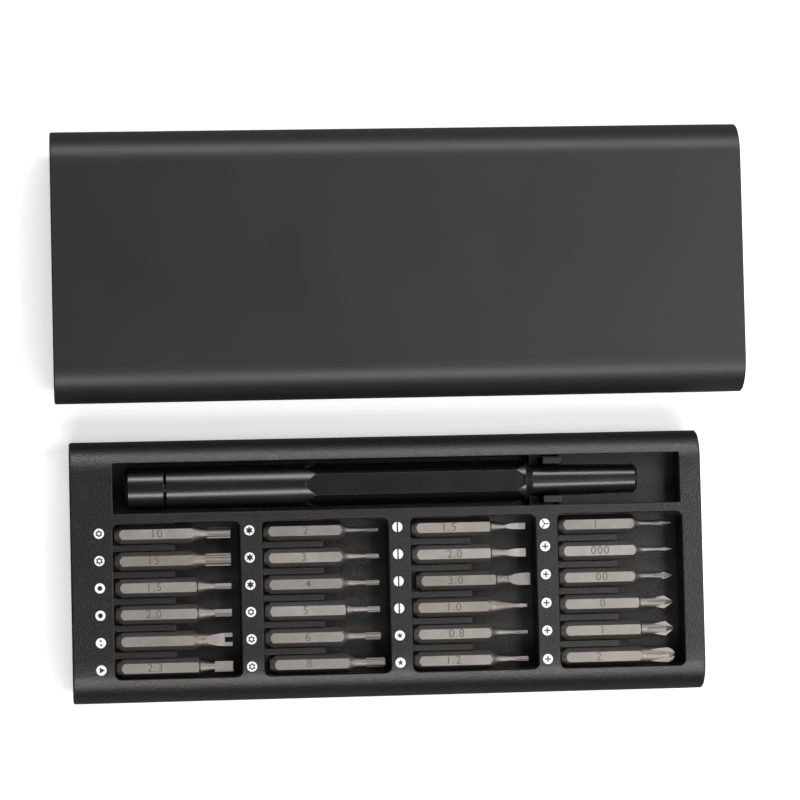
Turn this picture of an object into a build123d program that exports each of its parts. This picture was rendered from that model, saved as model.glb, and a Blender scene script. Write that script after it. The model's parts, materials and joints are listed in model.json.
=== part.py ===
from build123d import *
import os
from math import cos, radians, sin, sqrt, tan

# Precision screwdriver set: a flat aluminium sleeve lies beside the bit tray that slides into it.
# Origin: centre of the tray's underside. +X along the tray, towards the latch end of the sleeve.
# +Y from the tray towards the sleeve, +Z up. Both pieces lie on z = 0. Millimetres.

# ---------------------------------------------------------------- driving dimensions
# tray
TRAY_LENGTH = 151.0
TRAY_WIDTH = 62.2
TRAY_HEIGHT = 14.2
TRAY_EDGE_RADIUS = 6.8
TRAY_END_CHAMFER = 0.35
TRAY_OPENING_CHAMFER = 0.25

# sleeve
SLEEVE_LENGTH = 165.5
SLEEVE_WIDTH = 65.0
SLEEVE_HEIGHT = 17.0
SLEEVE_EDGE_RADIUS = 8.2
SLEEVE_WALL = 1.2
SLEEVE_END_CHAMFER = 0.25
SLEEVE_X = 4.1
SLEEVE_Y = 72.8

# the way from the laid-out place to the closed place, as a swing and then a slide
CLOSED_LIFT = 1.4
PIVOT_REACH_X = 85.0

# handle slot in the tray
SLOT_LEFT = -65.3
SLOT_RIGHT = 70.2
SLOT_WIDTH = 12.0
SLOT_FLOOR_Z = 3.2
HANDLE_Y = 19.8
HANDLE_Z = 8.3
NOSE_PLATFORM_LEFT = 34.9
NOSE_PLATFORM_Z = 7.0
NOSE_CHANNEL_GAP = 0.12
NOSE_CHANNEL_Z = 4.4
NOSE_CHANNEL_CORNER = 0.8

# clip fingers that hold the handle's nose
FINGER_LEFT = 37.6
FINGER_LENGTH = 4.3
FINGER_INNER = 3.75
FINGER_OUTER = 5.45
FINGER_TOP_Z = 13.0
FINGER_SLOPE = 0.3
FINGER_WELL_LEFT = 37.0
FINGER_WELL_LENGTH = 5.0

# bit pockets
POCKET_COLUMNS = 4
POCKET_FIRST_LEFT = -65.5
POCKET_PITCH = 35.35
POCKET_LENGTH = 30.0
POCKET_LOW_Y = -25.4
POCKET_HIGH_Y = 11.5
POCKET_CORNER = 1.5
RIB_LENGTH = 14.6
RIB_TOP_Z = 11.4
WELL_FLOOR_Z = 5.5
WELL_FLOOR_THICKNESS = 1.5
CORE_MARGIN = 1.0

# bits
BITS_PER_COLUMN = 6
BIT_PITCH = 6.34
BIT_FIRST_Y = 8.85
BIT_Z = 11.0
BIT_ACROSS_FLATS = 4.0
BIT_LENGTH = 27.5
BIT_REAR_GAP = 0.4
BIT_REAR_RADIUS = 1.45
BIT_REAR_TAPER = 1.9
GROOVE_SIDE_GAP = 0.14
GROOVE_FLOOR_GAP = 0.05

# base cover, bit magnets and screws
COVER_THICKNESS = 1.2
COVER_LENGTH = 146.0
COVER_WIDTH = 46.8
COVER_CORNER = 2.0
COVER_GAP = 0.1
MAGNET_LENGTH_X = 5.8
MAGNET_LENGTH_Y = 31.0
MAGNET_THICKNESS = 3.0
MAGNET_TOP_Z = 7.8
MAGNET_OFFSET = 6.5
SCREW_XS = (-69.6, -32.825, 2.525, 37.875)
SCREW_YS = (-18.0, 8.0)
SCREW_RADIUS = 0.8
SCREW_HEAD_RADIUS = 1.6
SCREW_LENGTH = 5.0
SCREW_DRIVE_RADIUS = 0.75
SCREW_DRIVE_DEPTH = 0.6
SCREW_GAP = 0.03

# handle
HANDLE_LEFT = -62.45
CAP_RIGHT = -53.1
CAP_SEAM = 0.3
HANDLE_RADIUS = 5.0
HANDLE_EDGE = 0.25
BODY_LEFT = CAP_RIGHT + CAP_SEAM
FLAT_LEFT = -19.4
FLAT_RIGHT = 33.2
FLAT_POINT_LEFT = 3.0
FLAT_POINT_RIGHT = 2.8
FLAT_TIP_LEFT = 0.6
FLAT_TIP_RIGHT = 1.05
FLAT_REACH = 3.0
FLAT_DISTANCE = 4.33
SHOULDER_LEFT = 33.4
NOSE_LEFT = 35.2
NOSE_RIGHT = 60.55
NOSE_REAR_RADIUS = 3.68
NOSE_FRONT_RADIUS = 3.25
NOSE_LIP_LENGTH = 0.6
NOSE_LIP_DROP = 0.4
RUNNING_GAP = 0.05

# turning cap
CAP_RIM = 0.8
CAP_DISH_DEPTH = 0.5
CAP_DISH_RIM = 1.8
BEARING_LENGTH = 4.0
BEARING_RADIUS = 3.2
AXLE_RADIUS = 1.5
AXLE_HEAD_RADIUS = 2.6
AXLE_HEAD_LENGTH = 1.0
AXLE_END_GAP = 0.1
AXLE_REACH = 9.5
AXLE_BORE_DEPTH = 10.0
CAP_CAVITY_GAP = 0.3

# driver socket in the nose
LINER_RADIUS = 2.7
LINER_LEFT = 44.0
SOCKET_LEFT = 47.2
SOCKET_ACROSS_FLATS = 4.1
LINER_INSET = 0.15
LINER_END_GAP = 0.1
SOCKET_MAGNET_RADIUS = 1.95
SOCKET_MAGNET_THICKNESS = 1.7
SOCKET_MAGNET_BORE_DEPTH = 2.0

# latch and end plug, measured from the sleeve's middle
PLUG_LEFT = 77.6
PLUG_RIGHT = 82.55
PLUG_GAP = 0.05
PLUG_EDGE_RADIUS = 0.5
PLUG_PANEL_WIDTH = 56.0
PLUG_PANEL_HEIGHT = 9.0
PLUG_PANEL_CORNER = 4.0
PLUG_PANEL_DEPTH = 0.6
PLUG_SCREW_REACH = 19.0
LATCH_LEFT = 68.6
LATCH_RIGHT = 77.5
LATCH_WIDTH = 13.0
LATCH_HEIGHT = 10.0
LATCH_WALL = 1.0
LATCH_CORNER = 1.0
PLUNGER_TIP = 65.35
PLUNGER_REAR = 71.6
PLUNGER_WIDTH = 8.0
PLUNGER_HEIGHT = 5.0
PLUNGER_MAGNET_WIDTH = 5.9
PLUNGER_MAGNET_HEIGHT = 3.3
PLUNGER_MAGNET_THICKNESS = 1.45
SPRING_WIRE_RADIUS = 0.2
SPRING_COIL_RADIUS = 1.7
SPRING_TURNS = 4
STRIKER_WIDTH = 12.0
STRIKER_HEIGHT = 6.0
STRIKER_THICKNESS = 1.0

# glide dots in the sleeve's floor
DOT_RADIUS = 3.0
DOT_RECESS = 0.6
DOT_THICKNESS = 0.7

# how far a cutting shape runs past the face it starts from
CUT_OVERRUN = 1.0

HALF_TRAY = TRAY_LENGTH / 2
HALF_SLEEVE = SLEEVE_LENGTH / 2

os.makedirs("parts", exist_ok=True)


def keep(part, node):
    """Label a finished piece and write it under its node name."""
    part.label = node
    export_step(part, "parts/" + node + ".step")


def cross_section(x, y=0.0, z=0.0):
    """A plane across the tool's length: its first axis is the row's Y and its second is Z."""
    return Plane(origin=(x, y, z), x_dir=(0, 1, 0), z_dir=(1, 0, 0))


def along_section(y, z):
    """A plane through an axis at (y, z): its first axis is the row's X and its second is Z."""
    return Plane(origin=(0, y, z), x_dir=(1, 0, 0), z_dir=(0, -1, 0))


def make_screws(node, places):
    """Countersunk screws with a hex recess, their heads level with the underside."""
    head_height = SCREW_HEAD_RADIUS - SCREW_RADIUS
    shank_radius = SCREW_RADIUS - SCREW_GAP
    with BuildPart() as screws:
        for x, y in places:
            with BuildSketch(Plane(origin=(x, y, 0), x_dir=(1, 0, 0), z_dir=(0, -1, 0))):
                with BuildLine():
                    Polyline(
                        (0, 0),
                        (SCREW_HEAD_RADIUS - SCREW_GAP, 0),
                        (shank_radius, head_height),
                        (shank_radius, SCREW_LENGTH),
                        (0, SCREW_LENGTH + shank_radius),
                        close=True,
                    )
                make_face()
            revolve(axis=Axis((x, y, 0), (0, 0, 1)))
        with BuildSketch(Plane.XY):
            with Locations(*places):
                RegularPolygon(radius=SCREW_DRIVE_RADIUS, side_count=6)
        extrude(amount=SCREW_DRIVE_DEPTH, mode=Mode.SUBTRACT)
    keep(screws.part, node)


# ---------------------------------------------------------------- the two pivots of the layout
# The tray reaches the sleeve's mouth by half a turn about two parallel axes that are tilted just
# enough to raise it by the sleeve's floor.
TILT = CLOSED_LIFT / SLEEVE_Y
PIVOT_DIRECTION = (0, -TILT / sqrt(1 + TILT**2), 1 / sqrt(1 + TILT**2))
NOSE_MAGNET_X = 55.0
NOSE_MAGNET_Z = 1.35
NOSE_MAGNET_RADIUS = 3.0
NOSE_MAGNET_THICKNESS = 1.3
DOT_FLOOR_Z = SLEEVE_WALL - DOT_RECESS
DOT_PIVOT_X = NOSE_MAGNET_X - PIVOT_REACH_X
DOT_PIVOT_RISE = DOT_FLOOR_Z - (NOSE_MAGNET_Z + CLOSED_LIFT / 2)
DOT_PIVOT_Y = HANDLE_Y + SLEEVE_Y / 2 - TILT * DOT_PIVOT_RISE

magnet_plane = Plane(
    origin=(NOSE_MAGNET_X, HANDLE_Y, NOSE_MAGNET_Z), x_dir=(1, 0, 0), z_dir=PIVOT_DIRECTION
)
dot_plane = Plane(
    origin=(DOT_PIVOT_X, DOT_PIVOT_Y, DOT_FLOOR_Z), x_dir=(1, 0, 0), z_dir=PIVOT_DIRECTION
)


# ---------------------------------------------------------------- places that repeat
pocket_lefts = [POCKET_FIRST_LEFT + POCKET_PITCH * column for column in range(POCKET_COLUMNS)]
pocket_middle_y = (POCKET_LOW_Y + POCKET_HIGH_Y) / 2
pocket_width = POCKET_HIGH_Y - POCKET_LOW_Y
bit_ys = [BIT_FIRST_Y - BIT_PITCH * row for row in range(BITS_PER_COLUMN)]
bit_corner_radius = BIT_ACROSS_FLATS / 2 / cos(radians(30))
screw_places = [(x, y) for x in SCREW_XS for y in SCREW_YS]
slot_middle_x = (SLOT_LEFT + SLOT_RIGHT) / 2


# ---------------------------------------------------------------- tray
with BuildPart() as tray:
    with BuildSketch(cross_section(-HALF_TRAY, 0, TRAY_HEIGHT / 2)):
        RectangleRounded(TRAY_WIDTH, TRAY_HEIGHT, TRAY_EDGE_RADIUS)
    extrude(amount=TRAY_LENGTH)
    end_faces = tray.faces().filter_by(Axis.X)
    chamfer(end_faces.edges(), TRAY_END_CHAMFER)

    # handle slot
    with BuildSketch(Plane.XY.offset(TRAY_HEIGHT)):
        with Locations((slot_middle_x, HANDLE_Y)):
            Rectangle(SLOT_RIGHT - SLOT_LEFT, SLOT_WIDTH)
    extrude(amount=SLOT_FLOOR_Z - TRAY_HEIGHT, mode=Mode.SUBTRACT)

    # raised platform under the nose, with a channel that follows the nose's taper
    platform_length = SLOT_RIGHT - NOSE_PLATFORM_LEFT
    with BuildSketch(Plane.XY.offset(SLOT_FLOOR_Z)):
        with Locations((NOSE_PLATFORM_LEFT + platform_length / 2, HANDLE_Y)):
            Rectangle(platform_length, SLOT_WIDTH)
    extrude(amount=NOSE_PLATFORM_Z - SLOT_FLOOR_Z)
    with BuildSketch(Plane.XY.offset(NOSE_CHANNEL_Z)) as nose_channel:
        rear_half_width = NOSE_REAR_RADIUS + NOSE_CHANNEL_GAP
        front_half_width = NOSE_FRONT_RADIUS + NOSE_CHANNEL_GAP
        channel_right = NOSE_RIGHT + NOSE_CHANNEL_GAP
        with BuildLine():
            Polyline(
                (NOSE_PLATFORM_LEFT, HANDLE_Y - rear_half_width),
                (channel_right, HANDLE_Y - front_half_width),
                (channel_right, HANDLE_Y + front_half_width),
                (NOSE_PLATFORM_LEFT, HANDLE_Y + rear_half_width),
                close=True,
            )
        make_face()
        fillet(nose_channel.vertices().group_by(Axis.X)[-1], NOSE_CHANNEL_CORNER)
    extrude(amount=NOSE_PLATFORM_Z - NOSE_CHANNEL_Z, mode=Mode.SUBTRACT)

    # gaps around the clip fingers, then the fingers with their sloping lead-ins
    with BuildSketch(Plane.XY.offset(NOSE_CHANNEL_Z)):
        with Locations((FINGER_WELL_LEFT + FINGER_WELL_LENGTH / 2, HANDLE_Y)):
            Rectangle(FINGER_WELL_LENGTH, SLOT_WIDTH)
    extrude(amount=NOSE_PLATFORM_Z - NOSE_CHANNEL_Z, mode=Mode.SUBTRACT)
    for side in (-1, 1):
        with BuildSketch(cross_section(FINGER_LEFT, HANDLE_Y, 0)):
            with BuildLine():
                Polyline(
                    (side * FINGER_INNER, NOSE_CHANNEL_Z),
                    (side * FINGER_INNER, FINGER_TOP_Z - FINGER_SLOPE),
                    (side * (FINGER_INNER + FINGER_SLOPE), FINGER_TOP_Z),
                    (side * FINGER_OUTER, FINGER_TOP_Z),
                    (side * FINGER_OUTER, NOSE_CHANNEL_Z),
                    close=True,
                )
            make_face()
        extrude(amount=FINGER_LENGTH)

    # bit pockets: down to the rib tops, then the open wells for the tips
    with BuildSketch(Plane.XY.offset(RIB_TOP_Z)):
        for left in pocket_lefts:
            with Locations((left + POCKET_LENGTH / 2, pocket_middle_y)):
                RectangleRounded(POCKET_LENGTH, pocket_width, POCKET_CORNER)
    extrude(amount=TRAY_HEIGHT - RIB_TOP_Z, mode=Mode.SUBTRACT)
    well_length = POCKET_LENGTH - RIB_LENGTH
    with BuildSketch(Plane.XY.offset(WELL_FLOOR_Z)):
        for left in pocket_lefts:
            with Locations((left + RIB_LENGTH + well_length / 2, pocket_middle_y)):
                Rectangle(well_length, pocket_width - 2 * POCKET_CORNER)
            with Locations((left + RIB_LENGTH + (well_length - POCKET_CORNER) / 2, pocket_middle_y)):
                Rectangle(well_length - POCKET_CORNER, pocket_width)
            for corner_y in (POCKET_LOW_Y + POCKET_CORNER, POCKET_HIGH_Y - POCKET_CORNER):
                with Locations((left + POCKET_LENGTH - POCKET_CORNER, corner_y)):
                    Circle(POCKET_CORNER)
    extrude(amount=RIB_TOP_Z - WELL_FLOOR_Z, mode=Mode.SUBTRACT)

    # grooves that hold the hex shanks
    groove_floor_z = BIT_Z - BIT_ACROSS_FLATS / 2 - GROOVE_FLOOR_GAP
    groove_width = 2 * (bit_corner_radius + GROOVE_SIDE_GAP)
    with BuildSketch(Plane.XY.offset(groove_floor_z)):
        for left in pocket_lefts:
            for y in bit_ys:
                with Locations((left + RIB_LENGTH / 2, y)):
                    Rectangle(RIB_LENGTH, groove_width)
    extrude(amount=RIB_TOP_Z - groove_floor_z, mode=Mode.SUBTRACT)

    # soft edge around every opening in the top face
    with BuildSketch(Plane.XY.offset(TRAY_HEIGHT - TRAY_OPENING_CHAMFER)):
        for left in pocket_lefts:
            with Locations((left + POCKET_LENGTH / 2, pocket_middle_y)):
                RectangleRounded(POCKET_LENGTH, pocket_width, POCKET_CORNER)
        with Locations((slot_middle_x, HANDLE_Y)):
            Rectangle(SLOT_RIGHT - SLOT_LEFT, SLOT_WIDTH)
    extrude(amount=TRAY_OPENING_CHAMFER, taper=-45, mode=Mode.SUBTRACT)

    # underside: seat for the cover, magnet channels, weight-saving cores below the wells
    with BuildSketch(Plane.XY):
        RectangleRounded(COVER_LENGTH, COVER_WIDTH, COVER_CORNER)
    extrude(amount=COVER_THICKNESS, mode=Mode.SUBTRACT)
    with BuildSketch(Plane.XY.offset(COVER_THICKNESS)):
        for left in pocket_lefts:
            with Locations((left + MAGNET_OFFSET, pocket_middle_y)):
                Rectangle(MAGNET_LENGTH_X + 2 * COVER_GAP, MAGNET_LENGTH_Y + 2 * COVER_GAP)
    extrude(amount=MAGNET_TOP_Z + COVER_GAP - COVER_THICKNESS, mode=Mode.SUBTRACT)
    core_height = WELL_FLOOR_Z - WELL_FLOOR_THICKNESS - COVER_THICKNESS
    with BuildSketch(Plane.XY.offset(COVER_THICKNESS)):
        for left in pocket_lefts:
            with Locations((left + RIB_LENGTH + well_length / 2, pocket_middle_y)):
                Rectangle(well_length - 2 * CORE_MARGIN, MAGNET_LENGTH_Y)
    extrude(amount=core_height, mode=Mode.SUBTRACT)

    # screw pilot holes
    with BuildSketch(Plane.XY.offset(COVER_THICKNESS)):
        with Locations(*screw_places):
            Circle(SCREW_RADIUS)
    extrude(amount=SCREW_LENGTH, mode=Mode.SUBTRACT)

    # seat of the round magnet under the nose
    with BuildSketch(magnet_plane.offset(-CUT_OVERRUN)):
        Circle(NOSE_MAGNET_RADIUS + RUNNING_GAP)
    extrude(amount=CUT_OVERRUN + NOSE_MAGNET_THICKNESS + RUNNING_GAP, mode=Mode.SUBTRACT)

    # seat of the striker plate in the end face
    with BuildSketch(cross_section(HALF_TRAY, 0, TRAY_HEIGHT / 2)):
        Rectangle(STRIKER_WIDTH, STRIKER_HEIGHT)
    extrude(amount=-STRIKER_THICKNESS, mode=Mode.SUBTRACT)
keep(tray.part, "tray")


# ---------------------------------------------------------------- base cover and what it holds
with BuildPart() as base_cover:
    with BuildSketch(Plane.XY):
        RectangleRounded(
            COVER_LENGTH - 2 * COVER_GAP, COVER_WIDTH - 2 * COVER_GAP, COVER_CORNER - COVER_GAP
        )
    extrude(amount=COVER_THICKNESS)
    with BuildSketch(Plane.XY.offset(COVER_THICKNESS)):
        for left in pocket_lefts:
            with Locations((left + MAGNET_OFFSET, pocket_middle_y)):
                Rectangle(MAGNET_LENGTH_X - 2 * COVER_GAP, MAGNET_LENGTH_Y - 2 * COVER_GAP)
    extrude(amount=MAGNET_TOP_Z - MAGNET_THICKNESS - COVER_GAP - COVER_THICKNESS)
    # dished seat that leaves the nose magnet free
    with BuildSketch(Plane.XY.offset(COVER_THICKNESS)):
        with Locations((NOSE_MAGNET_X, HANDLE_Y)):
            Circle(NOSE_MAGNET_RADIUS + 4 * RUNNING_GAP)
    extrude(amount=-2 * RUNNING_GAP, mode=Mode.SUBTRACT)
    with Locations(*[Location((x, y, 0), (180, 0, 0)) for x, y in screw_places]):
        CounterSinkHole(SCREW_RADIUS + SCREW_GAP, SCREW_HEAD_RADIUS + SCREW_GAP)
keep(base_cover.part, "base_cover")

make_screws("base_screws", screw_places)

with BuildPart() as bit_magnets:
    with BuildSketch(Plane.XY.offset(MAGNET_TOP_Z - MAGNET_THICKNESS)):
        for left in pocket_lefts:
            with Locations((left + MAGNET_OFFSET, pocket_middle_y)):
                Rectangle(MAGNET_LENGTH_X, MAGNET_LENGTH_Y)
    extrude(amount=MAGNET_THICKNESS)
keep(bit_magnets.part, "bit_magnets")

with BuildPart() as nose_magnet:
    with BuildSketch(magnet_plane):
        Circle(NOSE_MAGNET_RADIUS)
    extrude(amount=NOSE_MAGNET_THICKNESS)
keep(nose_magnet.part, "nose_magnet")

with BuildPart() as striker_plate:
    with BuildSketch(cross_section(HALF_TRAY, 0, TRAY_HEIGHT / 2)):
        Rectangle(STRIKER_WIDTH - 2 * RUNNING_GAP, STRIKER_HEIGHT - 2 * RUNNING_GAP)
    extrude(amount=-STRIKER_THICKNESS)
keep(striker_plate.part, "striker_plate")


# ---------------------------------------------------------------- outer sleeve
sleeve_left_x = SLEEVE_X - HALF_SLEEVE
with BuildPart() as outer_sleeve:
    with BuildSketch(cross_section(sleeve_left_x, SLEEVE_Y, SLEEVE_HEIGHT / 2)):
        RectangleRounded(SLEEVE_WIDTH, SLEEVE_HEIGHT, SLEEVE_EDGE_RADIUS)
        RectangleRounded(
            SLEEVE_WIDTH - 2 * SLEEVE_WALL,
            SLEEVE_HEIGHT - 2 * SLEEVE_WALL,
            SLEEVE_EDGE_RADIUS - SLEEVE_WALL,
            mode=Mode.SUBTRACT,
        )
    extrude(amount=SLEEVE_LENGTH)
    sleeve_ends = outer_sleeve.faces().filter_by(Axis.X)
    chamfer(sleeve_ends.edges(), SLEEVE_END_CHAMFER)

    # recesses for the glide dots, the first one square to the pivot
    with BuildSketch(dot_plane):
        Circle(DOT_RADIUS + RUNNING_GAP)
    extrude(amount=DOT_RECESS + CUT_OVERRUN, mode=Mode.SUBTRACT)
    dot_places = [
        (DOT_PIVOT_X, 2 * SLEEVE_Y - DOT_PIVOT_Y),
        (2 * SLEEVE_X - DOT_PIVOT_X, DOT_PIVOT_Y),
        (2 * SLEEVE_X - DOT_PIVOT_X, 2 * SLEEVE_Y - DOT_PIVOT_Y),
    ]
    with BuildSketch(Plane.XY.offset(DOT_FLOOR_Z)):
        with Locations(*dot_places):
            Circle(DOT_RADIUS)
    extrude(amount=DOT_RECESS + CUT_OVERRUN, mode=Mode.SUBTRACT)

    # countersunk holes for the plug's screws, from below
    plug_middle_x = SLEEVE_X + (PLUG_LEFT + PLUG_RIGHT) / 2
    plug_screw_places = [(plug_middle_x, SLEEVE_Y + side * PLUG_SCREW_REACH) for side in (-1, 1)]
    with Locations(*[Location((x, y, 0), (180, 0, 0)) for x, y in plug_screw_places]):
        CounterSinkHole(SCREW_RADIUS + SCREW_GAP, SCREW_HEAD_RADIUS + SCREW_GAP, depth=SLEEVE_WALL)
keep(outer_sleeve.part, "outer_sleeve")

with BuildPart() as pivot_dot:
    with BuildSketch(dot_plane):
        Circle(DOT_RADIUS)
    extrude(amount=DOT_THICKNESS)
keep(pivot_dot.part, "pivot_dot")

with BuildPart() as glide_dots:
    with BuildSketch(Plane.XY.offset(DOT_FLOOR_Z)):
        with Locations(*dot_places):
            Circle(DOT_RADIUS)
    extrude(amount=DOT_THICKNESS)
keep(glide_dots.part, "glide_dots")


# ---------------------------------------------------------------- end plug and push latch
with BuildPart() as end_plug:
    with BuildSketch(cross_section(SLEEVE_X + PLUG_LEFT, SLEEVE_Y, SLEEVE_HEIGHT / 2)):
        RectangleRounded(
            SLEEVE_WIDTH - 2 * SLEEVE_WALL - 2 * PLUG_GAP,
            SLEEVE_HEIGHT - 2 * SLEEVE_WALL - 2 * PLUG_GAP,
            SLEEVE_EDGE_RADIUS - SLEEVE_WALL - PLUG_GAP,
        )
    extrude(amount=PLUG_RIGHT - PLUG_LEFT)
    outside_face = end_plug.faces().sort_by(Axis.X)[-1]
    fillet(outside_face.edges(), PLUG_EDGE_RADIUS)
    # shallow dished panel in the outer face
    with BuildSketch(cross_section(SLEEVE_X + PLUG_RIGHT, SLEEVE_Y, SLEEVE_HEIGHT / 2)):
        RectangleRounded(PLUG_PANEL_WIDTH, PLUG_PANEL_HEIGHT, PLUG_PANEL_CORNER)
    extrude(amount=-PLUG_PANEL_DEPTH, mode=Mode.SUBTRACT)
    with BuildSketch(Plane.XY.offset(SLEEVE_WALL)):
        with Locations(*plug_screw_places):
            Circle(SCREW_RADIUS)
    extrude(amount=SCREW_LENGTH + CUT_OVERRUN, mode=Mode.SUBTRACT)
keep(end_plug.part, "end_plug")

make_screws("plug_screws", plug_screw_places)

with BuildPart() as latch_housing:
    with BuildSketch(cross_section(SLEEVE_X + LATCH_LEFT, SLEEVE_Y, SLEEVE_HEIGHT / 2)):
        RectangleRounded(LATCH_WIDTH, LATCH_HEIGHT, LATCH_CORNER)
    extrude(amount=LATCH_RIGHT - LATCH_LEFT)
    with BuildSketch(cross_section(SLEEVE_X + LATCH_LEFT, SLEEVE_Y, SLEEVE_HEIGHT / 2)):
        Rectangle(PLUNGER_WIDTH + 2 * RUNNING_GAP, PLUNGER_HEIGHT + 2 * RUNNING_GAP)
    extrude(amount=LATCH_RIGHT - LATCH_LEFT - LATCH_WALL, mode=Mode.SUBTRACT)
keep(latch_housing.part, "latch_housing")

with BuildPart() as latch_plunger:
    with BuildSketch(cross_section(SLEEVE_X + PLUNGER_TIP, SLEEVE_Y, SLEEVE_HEIGHT / 2)):
        Rectangle(PLUNGER_WIDTH, PLUNGER_HEIGHT)
    extrude(amount=PLUNGER_REAR - PLUNGER_TIP)
    with BuildSketch(cross_section(SLEEVE_X + PLUNGER_TIP, SLEEVE_Y, SLEEVE_HEIGHT / 2)):
        Rectangle(PLUNGER_MAGNET_WIDTH + 2 * RUNNING_GAP, PLUNGER_MAGNET_HEIGHT + 2 * RUNNING_GAP)
    extrude(amount=PLUNGER_MAGNET_THICKNESS + RUNNING_GAP, mode=Mode.SUBTRACT)
keep(latch_plunger.part, "latch_plunger")

with BuildPart() as plunger_magnet:
    with BuildSketch(cross_section(SLEEVE_X + PLUNGER_TIP + RUNNING_GAP, SLEEVE_Y, SLEEVE_HEIGHT / 2)):
        Rectangle(PLUNGER_MAGNET_WIDTH, PLUNGER_MAGNET_HEIGHT)
    extrude(amount=PLUNGER_MAGNET_THICKNESS)
keep(plunger_magnet.part, "plunger_magnet")

with BuildPart() as latch_spring:
    spring_start_x = SLEEVE_X + PLUNGER_REAR + 2 * SPRING_WIRE_RADIUS
    spring_length = LATCH_RIGHT - LATCH_WALL - PLUNGER_REAR - 4 * SPRING_WIRE_RADIUS
    with BuildLine():
        coil = Helix(
            spring_length / SPRING_TURNS,
            spring_length,
            SPRING_COIL_RADIUS,
            center=(spring_start_x, SLEEVE_Y, SLEEVE_HEIGHT / 2),
            direction=(1, 0, 0),
        )
    with BuildSketch(Plane(origin=coil @ 0, z_dir=coil % 0)):
        Circle(SPRING_WIRE_RADIUS)
    sweep()
keep(latch_spring.part, "latch_spring")


# ---------------------------------------------------------------- handle
with BuildPart() as handle_body:
    with BuildSketch(along_section(HANDLE_Y, HANDLE_Z)):
        with BuildLine():
            Polyline(
                (BODY_LEFT, 0),
                (BODY_LEFT, HANDLE_RADIUS - HANDLE_EDGE),
                (BODY_LEFT + HANDLE_EDGE, HANDLE_RADIUS),
                (SHOULDER_LEFT, HANDLE_RADIUS),
                (NOSE_LEFT, NOSE_REAR_RADIUS),
                (NOSE_RIGHT - NOSE_LIP_LENGTH, NOSE_FRONT_RADIUS),
                (NOSE_RIGHT, NOSE_FRONT_RADIUS - NOSE_LIP_DROP),
                (NOSE_RIGHT, 0),
                close=True,
            )
        make_face()
    revolve(axis=Axis((0, HANDLE_Y, HANDLE_Z), (1, 0, 0)))

    # six grip flats with pointed ends
    for turn in range(0, 360, 60):
        axis_plane = Plane(origin=(0, HANDLE_Y, HANDLE_Z)).rotated((turn, 0, 0))
        with BuildSketch(axis_plane.offset(FLAT_DISTANCE)):
            with BuildLine():
                Polyline(
                    (FLAT_LEFT, -FLAT_TIP_LEFT),
                    (FLAT_LEFT + FLAT_POINT_LEFT, -FLAT_REACH),
                    (FLAT_RIGHT - FLAT_POINT_RIGHT, -FLAT_REACH),
                    (FLAT_RIGHT, -FLAT_TIP_RIGHT),
                    (FLAT_RIGHT, FLAT_TIP_RIGHT),
                    (FLAT_RIGHT - FLAT_POINT_RIGHT, FLAT_REACH),
                    (FLAT_LEFT + FLAT_POINT_LEFT, FLAT_REACH),
                    (FLAT_LEFT, FLAT_TIP_LEFT),
                    close=True,
                )
            make_face()
        extrude(amount=HANDLE_RADIUS - FLAT_DISTANCE + CUT_OVERRUN, mode=Mode.SUBTRACT)

    # bore for the socket liner and bore for the cap's axle
    with BuildSketch(cross_section(NOSE_RIGHT, HANDLE_Y, HANDLE_Z)):
        Circle(LINER_RADIUS + SCREW_GAP)
    extrude(amount=LINER_LEFT - LINER_END_GAP - NOSE_RIGHT, mode=Mode.SUBTRACT)
    with BuildSketch(cross_section(BODY_LEFT, HANDLE_Y, HANDLE_Z)):
        Circle(AXLE_RADIUS + SCREW_GAP)
    extrude(amount=AXLE_BORE_DEPTH, mode=Mode.SUBTRACT)
keep(handle_body.part, "handle_body")

with BuildPart() as bit_socket:
    liner_right = NOSE_RIGHT - LINER_INSET
    with BuildSketch(cross_section(LINER_LEFT, HANDLE_Y, HANDLE_Z)):
        Circle(LINER_RADIUS)
    extrude(amount=liner_right - LINER_LEFT)
    with BuildSketch(cross_section(liner_right, HANDLE_Y, HANDLE_Z)):
        RegularPolygon(radius=SOCKET_ACROSS_FLATS / 2 / cos(radians(30)), side_count=6)
    extrude(amount=SOCKET_LEFT - liner_right, mode=Mode.SUBTRACT)
    with BuildSketch(cross_section(SOCKET_LEFT, HANDLE_Y, HANDLE_Z)):
        Circle(SOCKET_MAGNET_RADIUS + RUNNING_GAP)
    extrude(amount=-SOCKET_MAGNET_BORE_DEPTH, mode=Mode.SUBTRACT)
keep(bit_socket.part, "bit_socket")

with BuildPart() as socket_magnet:
    magnet_left = SOCKET_LEFT - SOCKET_MAGNET_BORE_DEPTH + 2 * RUNNING_GAP
    with BuildSketch(cross_section(magnet_left, HANDLE_Y, HANDLE_Z)):
        Circle(SOCKET_MAGNET_RADIUS)
    extrude(amount=SOCKET_MAGNET_THICKNESS)
keep(socket_magnet.part, "socket_magnet")

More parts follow.
